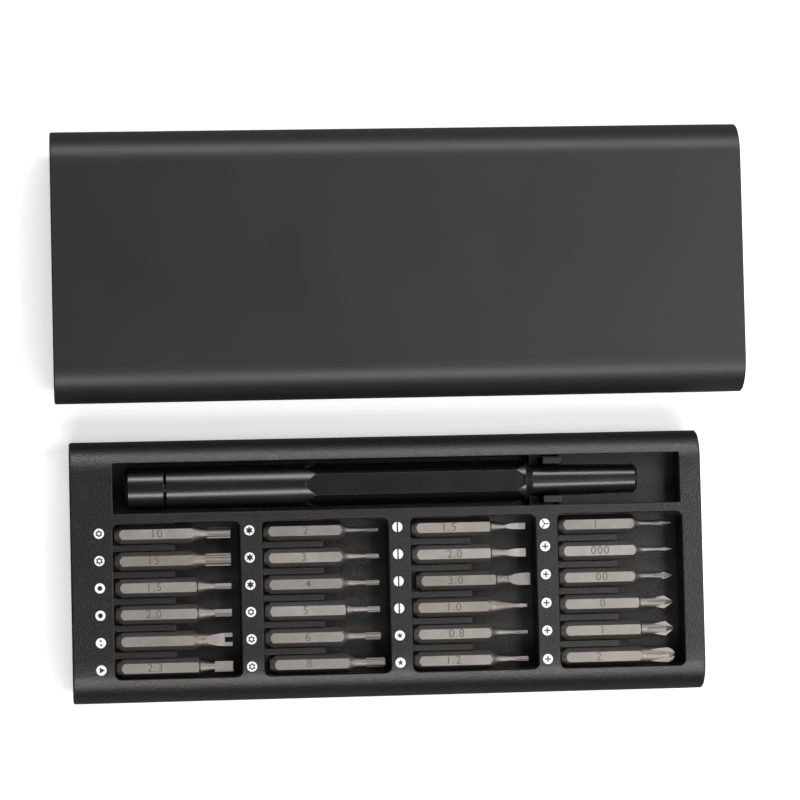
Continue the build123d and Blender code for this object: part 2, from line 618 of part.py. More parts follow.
bearing_left = CAP_RIGHT - BEARING_LENGTH
axle_head_right = bearing_left - AXLE_END_GAP
axle_head_left = axle_head_right - AXLE_HEAD_LENGTH
cavity_left = axle_head_left - CAP_CAVITY_GAP
with BuildPart() as handle_cap:
    with BuildSketch(along_section(HANDLE_Y, HANDLE_Z)):
        with BuildLine():
            Polyline(
                (HANDLE_LEFT + CAP_DISH_DEPTH, 0),
                (HANDLE_LEFT, HANDLE_RADIUS - CAP_DISH_RIM),
                (HANDLE_LEFT, HANDLE_RADIUS - CAP_RIM),
                (HANDLE_LEFT + CAP_RIM, HANDLE_RADIUS),
                (CAP_RIGHT - HANDLE_EDGE, HANDLE_RADIUS),
                (CAP_RIGHT, HANDLE_RADIUS - HANDLE_EDGE),
                (CAP_RIGHT, BEARING_RADIUS + SCREW_GAP),
                (cavity_left, BEARING_RADIUS + SCREW_GAP),
                (cavity_left, 0),
                close=True,
            )
        make_face()
    revolve(axis=Axis((0, HANDLE_Y, HANDLE_Z), (1, 0, 0)))
keep(handle_cap.part, "handle_cap")

with BuildPart() as cap_bearing:
    with BuildSketch(cross_section(bearing_left, HANDLE_Y, HANDLE_Z)):
        Circle(BEARING_RADIUS)
        Circle(AXLE_RADIUS + RUNNING_GAP, mode=Mode.SUBTRACT)
    extrude(amount=CAP_RIGHT - bearing_left)
keep(cap_bearing.part, "cap_bearing")

with BuildPart() as cap_axle:
    with BuildSketch(along_section(HANDLE_Y, HANDLE_Z)):
        with BuildLine():
            Polyline(
                (axle_head_left, 0),
                (axle_head_left, AXLE_HEAD_RADIUS),
                (axle_head_right, AXLE_HEAD_RADIUS),
                (axle_head_right, AXLE_RADIUS),
                (BODY_LEFT + AXLE_REACH, AXLE_RADIUS),
                (BODY_LEFT + AXLE_REACH, 0),
                close=True,
            )
        make_face()
    revolve(axis=Axis((0, HANDLE_Y, HANDLE_Z), (1, 0, 0)))
keep(cap_axle.part, "cap_axle")


# ---------------------------------------------------------------- bits
# Along a bit, x runs from the rear of its hex shank (0) to the tip (BIT_LENGTH).
# The shank's turned outline lies just outside the hex's corners.
SHANK_RADIUS = 2.35
BLADE_ROOT_REACH = 0.2
BLADE_LAND = 0.3
RAMP_BEND = 0.35
RAMP_ROOT_SHARE = 0.35
RAMP_TIP_SHARE = 0.3
FIVE_LOBE_CORE = 0.7
FIVE_LOBE_CENTRE = 0.66
FIVE_LOBE_RADIUS = 0.34
WING_CORE = 0.2
FORK_RADIUS = 1.62
FORK_THICKNESS = 1.0
FORK_LENGTH = 6.4
FORK_NOTCH_DEPTH = 1.8
FORK_NOTCH_WIDTH = 1.25
LOBE_FLUTE_CENTRE = 1.18
LOBE_FLUTE_RADIUS = 0.46
FLUTE_TILT = 14.0
FLUTE_LEAD = 0.5


def lobe_section(radius, hole_radius=0.0):
    """Six rounded points with hollow flutes between them, with or without a centre hole."""
    Circle(radius)
    with PolarLocations(LOBE_FLUTE_CENTRE * radius, 6, start_angle=30):
        Circle(LOBE_FLUTE_RADIUS * radius, mode=Mode.SUBTRACT)
    if hole_radius:
        Circle(hole_radius, mode=Mode.SUBTRACT)


def five_lobe_section(radius):
    """A round core with five round lobes."""
    Circle(FIVE_LOBE_CORE * radius)
    with PolarLocations(FIVE_LOBE_CENTRE * radius, 5, start_angle=90):
        Circle(FIVE_LOBE_RADIUS * radius)


def polygon_section(across_flats, sides):
    """A regular polygon with one flat on top."""
    RegularPolygon(radius=across_flats / 2, side_count=sides, major_radius=False, rotation=30)


def cut_blade_flats(tip_x, y, thickness, length, root):
    """Grind a flat blade: one hollow ramp above and one below, from the neck's radius root."""
    start = tip_x - length
    land = tip_x - BLADE_LAND * length
    bend = start + RAMP_BEND * length
    bend_height = RAMP_ROOT_SHARE * root + RAMP_TIP_SHARE * thickness
    for side in (1, -1):
        with BuildSketch(along_section(y, BIT_Z)) as waste:
            with BuildLine():
                ramp = Bezier(
                    (start, side * root),
                    (bend, side * bend_height),
                    (land, side * thickness / 2),
                )
                Polyline(
                    ramp @ 1,
                    (tip_x + CUT_OVERRUN, side * thickness / 2),
                    (tip_x + CUT_OVERRUN, side * SHANK_RADIUS),
                    (start, side * SHANK_RADIUS),
                    ramp @ 0,
                )
            make_face()
        extrude(waste.sketch, amount=SHANK_RADIUS, both=True, mode=Mode.SUBTRACT)


def cut_flutes(tip_x, y, wings, core, length):
    """Cut the V-shaped flutes between the wings of a cross or three-wing tip."""
    half_angle = radians(180 / wings)
    width = SHANK_RADIUS
    back = cos(radians(FLUTE_TILT))
    out = sin(radians(FLUTE_TILT))
    for wing in range(wings):
        turn = half_angle * (2 * wing + 1) + radians(90)
        flute_plane = Plane(
            origin=(tip_x, y, BIT_Z),
            x_dir=(0, -sin(turn), cos(turn)),
            z_dir=(-back, out * cos(turn), out * sin(turn)),
        )
        with BuildSketch(flute_plane.offset(-FLUTE_LEAD)) as waste:
            with BuildLine():
                Polyline(
                    (0, core),
                    (width, core + width / tan(half_angle)),
                    (-width, core + width / tan(half_angle)),
                    close=True,
                )
            make_face()
        extrude(waste.sketch, amount=length + FLUTE_LEAD, mode=Mode.SUBTRACT)


def make_bit(node, column, row, shoulder, neck, section=None, finish=None, shift=0.0):
    """One bit: a hex shank with a tapered rear, a curved shoulder, a neck and a drive tip.

    shoulder is where the hex starts to round off; neck is a list of (x, radius) points.
    """
    rear_x = pocket_lefts[column] + BIT_REAR_GAP + shift
    y = bit_ys[row]
    neck_start, neck_radius = neck[0]
    neck_end = neck[-1][0]
    reach = 0.5 * (neck_start - shoulder)
    with BuildPart() as bit:
        with BuildSketch(cross_section(rear_x, y, BIT_Z)):
            RegularPolygon(radius=bit_corner_radius, side_count=6)
        extrude(amount=neck_end)
        with BuildSketch(Plane(origin=(rear_x, y, BIT_Z), x_dir=(1, 0, 0), z_dir=(0, -1, 0))):
            with BuildLine():
                rear = Polyline(
                    (0, 0), (0, BIT_REAR_RADIUS), (BIT_REAR_TAPER, SHANK_RADIUS), (shoulder, SHANK_RADIUS)
                )
                Bezier(
                    rear @ 1,
                    (shoulder + reach, SHANK_RADIUS),
                    (neck_start - reach, neck_radius),
                    (neck_start, neck_radius),
                )
                Polyline(*neck, (neck_end, 0), (0, 0))
            make_face()
        revolve(axis=Axis((rear_x, y, BIT_Z), (1, 0, 0)), mode=Mode.INTERSECT)
        if section:
            with BuildSketch(cross_section(rear_x + neck_end, y, BIT_Z)):
                section()
            extrude(amount=BIT_LENGTH - neck_end)
        if finish:
            finish(rear_x + BIT_LENGTH, y)
    keep(bit.part, node)


def make_lobe_bit(node, column, row, shoulder, neck, radius, hole=0.0, shift=0.0):
    """A six-lobe bit; the larger ones have a hole for a centre pin."""
    make_bit(node, column, row, shoulder, neck, lambda: lobe_section(radius, hole), shift=shift)


def make_blade_bit(node, column, row, shoulder, neck, thickness, length, shift=0.0):
    """A flat blade ground on the end of a round neck."""
    blade_start = BIT_LENGTH - length
    root = max(radius for x, radius in neck if x >= blade_start - BLADE_ROOT_REACH)
    make_bit(
        node,
        column,
        row,
        shoulder,
        neck,
        finish=lambda tip_x, y: cut_blade_flats(tip_x, y, thickness, length, root),
        shift=shift,
    )


def make_wing_bit(node, column, row, shoulder, neck, wings):
    """A cross or three-wing bit: a flared point with V-shaped flutes."""
    point_radius = max(radius for x, radius in neck)
    point_length = BIT_LENGTH - neck[1][0]
    core = WING_CORE * point_radius
    make_bit(
        node,
        column,
        row,
        shoulder,
        neck,
        finish=lambda tip_x, y: cut_flutes(tip_x, y, wings, core, point_length),
    )


def cut_fork(tip_x, y):
    """A flat blade with a square notch in its end."""
    cut_blade_flats(tip_x, y, FORK_THICKNESS, FORK_LENGTH, FORK_RADIUS)
    with BuildSketch(Plane.XY.offset(BIT_Z)) as notch:
        with Locations((tip_x - FORK_NOTCH_DEPTH / 2, y)):
            Rectangle(FORK_NOTCH_DEPTH, FORK_NOTCH_WIDTH)
    extrude(notch.sketch, amount=SHANK_RADIUS, both=True, mode=Mode.SUBTRACT)


# first pocket: pinned lobes, hex keys, fork and triangle
make_lobe_bit("bit_lobe_pin_27", 0, 0, 16.6, [(21.7, 1.24), (22.0, 1.24)], 1.24, hole=0.5)
make_lobe_bit("bit_lobe_pin_32", 0, 1, 16.6, [(21.2, 1.48), (21.5, 1.48)], 1.48, hole=0.6)
make_bit(
    "bit_hex_15",
    0,
    2,
    18.8,
    [(19.9, 1.5), (21.0, 1.18), (22.4, 0.9), (23.6, 0.8)],
    lambda: polygon_section(1.35, 6),
)
make_bit(
    "bit_hex_20",
    0,
    3,
    18.8,
    [(19.9, 1.6), (21.2, 1.35), (22.4, 1.12), (23.4, 1.0)],
    lambda: polygon_section(1.75, 6),
)
make_bit(
    "bit_fork",
    0,
    4,
    17.4,
    [(20.2, FORK_RADIUS), (BIT_LENGTH, FORK_RADIUS)],
    finish=cut_fork,
)
make_bit(
    "bit_triangle",
    0,
    5,
    19.0,
    [(20.0, 1.5), (21.2, 1.25), (22.4, 1.05), (23.2, 1.0)],
    lambda: polygon_section(1.44, 3),
)

# second pocket: small lobes, the last two pinned
make_lobe_bit("bit_lobe_09", 1, 0, 17.2, [(21.0, 0.7), (24.4, 0.47)], 0.45)
make_lobe_bit("bit_lobe_10", 1, 1, 17.2, [(21.0, 0.76), (24.4, 0.53)], 0.51)
make_lobe_bit("bit_lobe_12", 1, 2, 17.2, [(21.0, 0.84), (24.2, 0.6)], 0.58)
make_lobe_bit("bit_lobe_14", 1, 3, 18.8, [(19.8, 1.25), (21.2, 0.8), (24.4, 0.7)], 0.68)
make_lobe_bit("bit_lobe_pin_16", 1, 4, 17.2, [(20.9, 0.98), (23.8, 0.85)], 0.82, hole=0.27)
make_lobe_bit("bit_lobe_pin_22", 1, 5, 17.4, [(21.4, 1.15), (23.0, 1.1)], 1.1, hole=0.4, shift=0.9)

# third pocket: slotted blades and five-lobe tips
make_blade_bit(
    "bit_slot_15", 2, 0, 18.5, [(19.4, 1.35), (20.8, 0.95), (22.4, 0.78), (BIT_LENGTH, 0.76)], 0.3, 5.2
)
make_blade_bit(
    "bit_slot_20", 2, 1, 18.5, [(19.4, 1.45), (20.8, 1.15), (22.4, 1.0), (BIT_LENGTH, 1.0)], 0.4, 5.2
)
make_blade_bit(
    "bit_slot_30",
    2,
    2,
    18.7,
    [(19.6, 1.5), (20.8, 1.22), (21.8, 1.2), (23.6, 1.46), (BIT_LENGTH, 1.48)],
    0.55,
    5.8,
    shift=0.9,
)
make_blade_bit(
    "bit_slot_10",
    2,
    3,
    16.8,
    [(19.8, 1.78), (21.5, 1.36), (23.4, 0.92), (25.4, 0.56), (BIT_LENGTH, 0.36)],
    0.25,
    2.6,
)
make_bit("bit_five_lobe_08", 2, 4, 17.2, [(21.0, 0.74), (24.2, 0.48)], lambda: five_lobe_section(0.45))
make_bit("bit_five_lobe_12", 2, 5, 17.2, [(21.2, 0.84), (24.2, 0.62)], lambda: five_lobe_section(0.6))

# fourth pocket: three-wing and cross tips
make_wing_bit("bit_tri_wing", 3, 0, 16.9, [(20.8, 0.66), (22.2, 0.62), (24.8, 0.9), (BIT_LENGTH, 0.12)], 3)
make_wing_bit("bit_cross_000", 3, 1, 17.3, [(21.0, 0.56), (24.2, 0.42), (25.9, 0.54), (BIT_LENGTH, 0.1)], 4)
make_wing_bit("bit_cross_00", 3, 2, 16.9, [(20.7, 0.66), (22.5, 0.6), (25.3, 0.98), (BIT_LENGTH, 0.12)], 4)
make_wing_bit(
    "bit_cross_0", 3, 3, 18.6, [(19.6, 1.45), (21.0, 1.3), (22.2, 1.38), (25.2, 1.66), (BIT_LENGTH, 0.2)], 4
)
make_wing_bit(
    "bit_cross_1", 3, 4, 18.8, [(19.8, 1.6), (20.9, 1.46), (22.0, 1.58), (25.4, 1.84), (BIT_LENGTH, 0.24)], 4
)
make_wing_bit(
    "bit_cross_2", 3, 5, 18.2, [(20.2, 1.92), (21.4, 1.9), (25.9, 1.86), (27.0, 1.3), (BIT_LENGTH, 0.6)], 4
)
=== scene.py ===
"""Looks for the precision screwdriver set: materials, printed icons, etched sizes, studio."""
import json
import math
import random

import bmesh
import bpy
from mathutils import Matrix, Vector


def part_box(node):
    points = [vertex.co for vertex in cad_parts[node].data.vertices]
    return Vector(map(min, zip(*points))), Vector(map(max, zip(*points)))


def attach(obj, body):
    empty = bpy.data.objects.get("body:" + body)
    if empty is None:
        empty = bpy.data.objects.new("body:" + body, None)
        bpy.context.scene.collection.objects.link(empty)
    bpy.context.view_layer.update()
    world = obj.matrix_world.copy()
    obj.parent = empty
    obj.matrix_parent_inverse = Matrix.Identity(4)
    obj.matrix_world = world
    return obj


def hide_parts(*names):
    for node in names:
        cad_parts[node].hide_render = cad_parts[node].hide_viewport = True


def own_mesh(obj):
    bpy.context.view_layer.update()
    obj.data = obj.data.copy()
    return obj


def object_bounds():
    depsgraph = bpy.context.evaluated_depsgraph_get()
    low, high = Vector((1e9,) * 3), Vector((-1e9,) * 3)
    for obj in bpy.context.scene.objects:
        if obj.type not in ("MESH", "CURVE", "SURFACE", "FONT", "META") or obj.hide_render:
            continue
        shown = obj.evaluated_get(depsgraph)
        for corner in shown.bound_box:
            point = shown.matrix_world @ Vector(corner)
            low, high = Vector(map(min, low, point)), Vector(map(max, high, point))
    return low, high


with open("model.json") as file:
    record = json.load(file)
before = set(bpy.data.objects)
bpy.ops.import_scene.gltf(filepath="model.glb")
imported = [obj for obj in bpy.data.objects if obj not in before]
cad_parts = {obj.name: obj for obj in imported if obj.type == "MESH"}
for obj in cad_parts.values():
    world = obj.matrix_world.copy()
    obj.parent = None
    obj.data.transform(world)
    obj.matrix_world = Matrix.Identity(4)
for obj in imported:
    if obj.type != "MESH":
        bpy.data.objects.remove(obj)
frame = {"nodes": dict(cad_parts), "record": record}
cad_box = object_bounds()

MM = 0.001
NODES = frame["nodes"]
DICE_SEED = 24
dice = random.Random(DICE_SEED)

# the mask on the sharp edges: where the rounded normal leaves the flat one by this much
BEVEL_SAMPLES = 4
EDGE_STARTS_AT = 0.995
EDGE_FULL_AT = 0.8


# ------------------------------------------------------------------ node helpers
class Shader:
    """A material's node tree, with short calls for the few kinds of node used here."""

    def __init__(self, name):
        self.material = bpy.data.materials.new(name)
        self.material.use_nodes = True
        self.tree = self.material.node_tree
        self.principled = self.tree.nodes["Principled BSDF"]
        self.place = self.add("ShaderNodeTexCoord").outputs["Object"]

    def add(self, kind, settings=None, **inputs):
        """Adds a node, sets its properties, and sets or links its inputs by name."""
        made = self.tree.nodes.new(kind)
        for key, value in (settings or {}).items():
            setattr(made, key, value)
        for key, value in inputs.items():
            self.put(made.inputs[key.replace("_", " ")], value)
        return made

    def put(self, socket, value):
        """Links a socket, or sets it to a plain value."""
        if isinstance(value, bpy.types.NodeSocket):
            self.tree.links.new(value, socket)
        else:
            socket.default_value = value

    def put_all(self, sockets, values):
        """Sets a node's inputs in their order."""
        for socket, value in zip(sockets, values):
            self.put(socket, value)

    def stretch(self, x, y, z):
        """Object coordinates in millimetres, stretched by a factor along each axis."""
        mapping = self.add("ShaderNodeMapping", Vector=self.place)
        mapping.inputs["Scale"].default_value = (x / MM, y / MM, z / MM)
        return mapping.outputs["Vector"]

    def noise(self, size_mm, detail=2.0, roughness=0.5, vector=None):
        """Soft noise with features about size_mm across."""
        made = self.add(
            "ShaderNodeTexNoise",
            Vector=vector or self.stretch(1, 1, 1),
            Scale=1 / size_mm,
            Detail=detail,
            Roughness=roughness,
        )
        return made.outputs["Fac"]

    def remap(self, value, low, high, to_low, to_high):
        """Maps a value from one range to another, clamped."""
        made = self.add("ShaderNodeMapRange")
        self.put_all(made.inputs[:5], (value, low, high, to_low, to_high))
        return made.outputs["Result"]

    def smooth(self, value, low, high, to_low, to_high):
        """As remap, with a smooth start and end."""
        made = self.add("ShaderNodeMapRange", {"interpolation_type": "SMOOTHSTEP"})
        self.put_all(made.inputs[:5], (value, low, high, to_low, to_high))
        return made.outputs["Result"]

    def vector(self, operation, a, b=None):
        """One vector step."""
        made = self.add("ShaderNodeVectorMath", {"operation": operation})
        self.put(made.inputs[0], a)
        if b is not None:
            self.put(made.inputs[1], b)
        return made.outputs["Vector"]

    def crown(self, normal, start_mm, flat_end_mm, end_mm, slope):
        """Leans the flat top outwards near its long edges, as a moulded top face sinks there."""
        split = self.add("ShaderNodeSeparateXYZ", Vector=self.stretch(1, 1, 1))
        side = self.maths("SIGN", split.outputs["Y"], 0.0)
        away = self.maths("ABSOLUTE", split.outputs["Y"], 0.0)
        rise = self.smooth(away, start_mm, flat_end_mm, 0.0, slope)
        fade = self.smooth(away, flat_end_mm, end_mm, 1.0, 0.0)
        lean = self.maths("MULTIPLY", self.maths("MULTIPLY", rise, fade), side)
        combine = self.add("ShaderNodeCombineXYZ", Y=lean)
        turn = self.add(
            "ShaderNodeVectorTransform",
            {"vector_type": "VECTOR", "convert_from": "OBJECT", "convert_to": "WORLD"},
            Vector=combine.outputs["Vector"],
        )
        return self.vector("NORMALIZE", self.vector("ADD", normal, turn.outputs["Vector"]))

    def maths(self, operation, a, b):
        """One maths step."""
        made = self.add("ShaderNodeMath", {"operation": operation})
        self.put(made.inputs[0], a)
        self.put(made.inputs[1], b)
        return made.outputs["Value"]

    def blend(self, factor, a, b):
        """Mixes two colours."""
        made = self.add("ShaderNodeMix", {"data_type": "RGBA"})
        self.put(made.inputs["Factor"], factor)
        self.put(made.inputs[6], a)
        self.put(made.inputs[7], b)
        return made.outputs[2]

    def edge(self, radius_mm):
        """Rounded normal for the sharp edges, and a mask that is 1 on them."""
        bevel = self.add("ShaderNodeBevel", {"samples": BEVEL_SAMPLES}, Radius=radius_mm * MM)
        geometry = self.add("ShaderNodeNewGeometry")
        dot = self.add("ShaderNodeVectorMath", {"operation": "DOT_PRODUCT"})
        self.put(dot.inputs[0], bevel.outputs["Normal"])
        self.put(dot.inputs[1], geometry.outputs["Normal"])
        mask = self.remap(dot.outputs["Value"], EDGE_STARTS_AT, EDGE_FULL_AT, 0.0, 1.0)
        return bevel.outputs["Normal"], mask

    def bump(self, height, depth_mm, normal=None):
        """A bump of the given depth on top of a normal."""
        made = self.add("ShaderNodeBump", Height=height, Distance=depth_mm * MM, Strength=1.0)
        if normal is not None:
            self.put(made.inputs["Normal"], normal)
        return made.outputs["Normal"]

    def finish(self, **inputs):
        """Sets the principled inputs and returns the material."""
        for key, value in inputs.items():
            self.put(self.principled.inputs[key.replace("_", " ")], value)
        return self.material


def grey(value, warm=0.0):
    """A linear grey, slightly warm or cool."""
    return (value * (1 + warm), value, value * (1 - warm), 1.0)


# ------------------------------------------------------------------ materials
def anodised_sleeve():
    """Charcoal anodised aluminium, bead blasted: fine even grain, faint handling smudges."""
    dark, light = (0.0085, 0.0078, 0.0088, 1), (0.0115, 0.0105, 0.0115, 1)
    smudge_tone, grain_tone, worn_tone = grey(0.006, 0.02), grey(0.02, 0.03), grey(0.07, 0.03)
    s = Shader("sleeve_anodised")
    smudge = s.noise(size_mm=26.0, detail=3.0, roughness=0.55)
    cloud = s.noise(size_mm=70.0, detail=1.0)
    grain = s.noise(size_mm=0.16, detail=2.0, roughness=0.6)
    fine = s.noise(size_mm=0.05, detail=1.0)
    soft_normal, edges = s.edge(radius_mm=0.18)
    tone = s.blend(s.remap(cloud, 0.3, 0.7, 0.0, 1.0), dark, light)
    tone = s.blend(s.remap(smudge, 0.55, 0.75, 0.0, 0.35), tone, smudge_tone)
    tone = s.blend(s.remap(grain, 0.35, 0.75, 0.0, 0.3), tone, grain_tone)
    tone = s.blend(s.maths("MULTIPLY", edges, 0.4), tone, worn_tone)
    rough = s.remap(smudge, 0.35, 0.7, 0.47, 0.43)
    rough = s.maths("ADD", rough, s.remap(fine, 0.3, 0.7, -0.03, 0.03))
    relief = s.maths("ADD", grain, s.maths("MULTIPLY", fine, 0.5))
    return s.finish(
        Base_Color=tone,
        Roughness=rough,
        IOR=1.5,
        Normal=s.bump(relief, depth_mm=0.006, normal=soft_normal),
    )


def anodised_handle():
    """Satin black anodised aluminium, turned: very fine rings round the handle's axis."""
    dark, light, worn_tone = grey(0.006, 0.04), grey(0.010, 0.05), grey(0.075, 0.06)
    s = Shader("handle_anodised")
    rings = s.noise(size_mm=0.05, detail=1.0, vector=s.stretch(1, 0.02, 0.02))
    grain = s.noise(size_mm=0.12, detail=2.0, roughness=0.6)
    smudge = s.noise(size_mm=9.0)
    soft_normal, edges = s.edge(radius_mm=0.14)
    tone = s.blend(s.remap(grain, 0.35, 0.7, 0.0, 0.5), dark, light)
    tone = s.blend(s.maths("MULTIPLY", edges, 0.45), tone, worn_tone)
    rough = s.remap(smudge, 0.35, 0.7, 0.29, 0.25)
    rough = s.maths("ADD", rough, s.remap(rings, 0.3, 0.7, -0.006, 0.006))
    relief = s.maths("ADD", s.maths("MULTIPLY", rings, 0.08), s.maths("MULTIPLY", grain, 0.4))
    return s.finish(
        Base_Color=tone,
        Roughness=rough,
        IOR=1.55,
        Normal=s.bump(relief, depth_mm=0.003, normal=soft_normal),
    )


# where the tray's top starts to sink, is steepest and is flat again, from its middle, and how far
CROWN_MM = (19.3, 24.6, 28.0)
CROWN_SLOPE = 0.12


def moulded_plastic(name, dark, light, rough, grain_mm, depth_mm, crowned=False):
    """Matte moulded plastic with a spark-eroded grain and slightly polished edges."""
    dust_tone, worn_tone = grey(0.05), grey(0.05, 0.02)
    rough_spread = 0.07
    s = Shader(name)
    cells = s.add(
        "ShaderNodeTexVoronoi",
        {"feature": "SMOOTH_F1"},
        Vector=s.stretch(1, 1, 1),
        Scale=1 / grain_mm,
    ).outputs["Distance"]
    grain = s.noise(size_mm=grain_mm * 0.8, detail=3.0, roughness=0.6)
    patch = s.noise(size_mm=18.0)
    mottle = s.noise(size_mm=0.42, roughness=0.6)
    dust = s.remap(s.noise(size_mm=0.5, detail=1.0), 0.64, 0.76, 0.0, 1.0)
    normal, edges = s.edge(radius_mm=0.16)
    if crowned:
        normal = s.crown(normal, *CROWN_MM, CROWN_SLOPE)
    speck = s.remap(s.maths("ADD", grain, s.maths("MULTIPLY", cells, -0.35)), 0.2, 0.55, 0.0, 1.0)
    tone = s.blend(speck, dark, light)
    tone = s.blend(s.remap(patch, 0.35, 0.7, 0.0, 0.25), tone, dark)
    tone = s.blend(s.maths("MULTIPLY", dust, 0.5), tone, dust_tone)
    tone = s.blend(s.maths("MULTIPLY", edges, 0.4), tone, worn_tone)
    roughness = s.remap(speck, 0.0, 1.0, rough + rough_spread, rough - rough_spread)
    roughness = s.maths("ADD", roughness, s.remap(edges, 0, 1, 0, -0.06))
    relief = s.maths("ADD", grain, s.maths("MULTIPLY", cells, -0.6))
    relief = s.maths("ADD", relief, s.maths("MULTIPLY", mottle, 1.8))
    return s.finish(
        Base_Color=tone,
        Roughness=roughness,
        IOR=1.52,
        Normal=s.bump(relief, depth_mm, normal=normal),
    )


# an upright part of a normal: above the second the steel is unshaded, below the first its painted
# side shade is full
SIDE_SHADE_FACING = (0.97, 0.999)


def satin_steel(
    name,
    dark,
    light,
    rough,
    brush=(1.0, 1.0, 1.0),
    edge_tone=0.6,
    edge_mm=0.1,
    spread=0.0,
    sides=1.0,
):
    """Satin hardened steel: warm grey, fine tumbling marks, worn edges.

    spread is how much the pieces differ; sides is the share of tone left on what doesn't face
    up, the rest being painted shade.
    """
    pit_tone, random_dark_tone, side_shade_tone = grey(0.12, 0.08), grey(0.13, 0.16), grey(0.05, 0.08)
    s = Shader(name)
    strokes = s.noise(size_mm=0.10, detail=3.0, roughness=0.6, vector=s.stretch(*brush))
    pits = s.noise(size_mm=0.22, detail=3.0, roughness=0.65)
    patch = s.noise(size_mm=5.0, detail=3.0, roughness=0.6)
    soft_normal, edges = s.edge(edge_mm)
    tone = s.blend(s.remap(patch, 0.3, 0.7, 0.0, 1.0), dark, light)
    tone = s.blend(s.remap(pits, 0.5, 0.8, 0.0, 0.35), tone, pit_tone)
    # each piece a random share darker and warmer
    each = s.add("ShaderNodeObjectInfo").outputs["Random"]
    tone = s.blend(s.remap(each, 0.0, 1.0, 0.0, spread), tone, random_dark_tone)
    # painted shade: what doesn't face up is darkened, as the side facets lie in shade
    facing = s.add("ShaderNodeSeparateXYZ", Vector=s.add("ShaderNodeTexCoord").outputs["Normal"])
    painted_side_shade = s.remap(facing.outputs["Z"], *SIDE_SHADE_FACING, 1.0 - sides, 0.0)
    tone = s.blend(painted_side_shade, tone, side_shade_tone)
    tone = s.blend(s.maths("MULTIPLY", edges, 0.3), tone, grey(edge_tone, 0.03))
    roughness = s.remap(strokes, 0.3, 0.7, rough - 0.05, rough + 0.06)
    roughness = s.maths("ADD", roughness, s.remap(edges, 0, 1, 0, -0.05))
    relief = s.maths("ADD", strokes, s.maths("MULTIPLY", pits, 0.5))
    return s.finish(
        Base_Color=tone,
        Metallic=1.0,
        Roughness=roughness,
        Normal=s.bump(relief, depth_mm=0.0035, normal=soft_normal),
    )


def printed_ink():
    """White pad-printed ink: slightly uneven, a little translucent at thin spots."""
    solid, thinned, clouded = (0.74, 0.80, 0.84, 1), (0.36, 0.40, 0.43, 1), (0.5, 0.55, 0.58, 1)
    s = Shader("printed_ink")
    thin = s.noise(size_mm=0.22, detail=3.0, roughness=0.65)
    cloud = s.noise(size_mm=1.4)
    tone = s.blend(s.remap(thin, 0.5, 0.75, 0.0, 0.45), solid, thinned)
    tone = s.blend(s.remap(cloud, 0.4, 0.7, 0.0, 0.2), tone, clouded)
    return s.finish(Base_Color=tone, Roughness=0.62, Normal=s.bump(thin, depth_mm=0.004))


def etched_mark():
    """Laser-etched marking: a dull brown oxide with an uneven bite."""
    s = Shader("etched_mark")
    bite = s.noise(size_mm=0.16, detail=3.0, roughness=0.7)
    tone = s.blend(s.remap(bite, 0.35, 0.7, 0.0, 1.0), grey(0.08, 0.12), grey(0.2, 0.1))
    rough = s.remap(bite, 0.3, 0.7, 0.55, 0.75)
    relief = s.bump(bite, depth_mm=0.006)
    return s.finish(Base_Color=tone, Metallic=0.6, Roughness=rough, Normal=relief)


def pressed_felt():
    """Dark pressed felt for the glide dots."""
    s = Shader("pressed_felt")
    fibre = s.noise(size_mm=0.12, detail=4.0, roughness=0.75)
    tone = s.blend(fibre, grey(0.03), grey(0.11))
    relief = s.bump(fibre, depth_mm=0.05)
    return s.finish(Base_Color=tone, Roughness=0.95, Sheen_Weight=0.4, Normal=relief)


def brass():
    """Turned brass."""
    s = Shader("turned_brass")
    rings = s.noise(size_mm=0.06, roughness=0.6, vector=s.stretch(1, 0.03, 0.03))
    tone = s.blend(rings, (0.55, 0.36, 0.12, 1), (0.72, 0.52, 0.2, 1))
    return s.finish(Base_Color=tone, Metallic=1.0, Roughness=s.remap(rings, 0.3, 0.7, 0.2, 0.35))


PAPER_GLOW = 0.42
PAPER_UNSEEN_TONE = 0.16


def paper_floor():
    """Plain pale studio paper.

    The camera sees it bright, with a glow that softens its shadows. Other rays meet it dark, so
    that it doesn't light the black parts from below.
    """
    s = Shader("studio_paper")
    tooth = s.noise(size_mm=0.8, detail=3.0)
    tone = s.blend(tooth, grey(0.86), grey(0.9))
    seen = s.add("ShaderNodeLightPath").outputs["Is Camera Ray"]
    return s.finish(
        Base_Color=s.blend(seen, grey(PAPER_UNSEEN_TONE), tone),
        Emission_Color=grey(1.0),
        Emission_Strength=s.maths("MULTIPLY", seen, PAPER_GLOW),
        Roughness=0.9,
        Normal=s.bump(tooth, depth_mm=0.01),
    )


tray_black = moulded_plastic(
    "tray_grained",
    dark=grey(0.002, 0.02),
    light=grey(0.016, 0.03),
    rough=0.35,
    grain_mm=0.4,
    depth_mm=0.04,
    crowned=True,
)
dark_plastic = moulded_plastic(
    "inner_plastic",
    dark=grey(0.012),
    light=grey(0.024),
    rough=0.45,
    grain_mm=0.2,
    depth_mm=0.012,
)
bit_steel = satin_steel(
    "bit_satin",
    dark=grey(0.31, 0.07),
    light=grey(0.38, 0.06),
    rough=0.5,
    brush=(0.2, 1, 1),
    edge_tone=0.42,
    edge_mm=0.05,
    spread=0.4,
    # half of the tone on the bits' sides is painted shade
    sides=0.5,
)
plain_steel = satin_steel("plain_steel", dark=grey(0.42), light=grey(0.52), rough=0.3)
black_screw = satin_steel(
    "black_zinc", dark=grey(0.07), light=grey(0.11), rough=0.34, edge_tone=0.3
)
nickel = satin_steel(
    "magnet_nickel", dark=grey(0.6, 0.02), light=grey(0.68, 0.02), rough=0.18, edge_tone=0.75
)

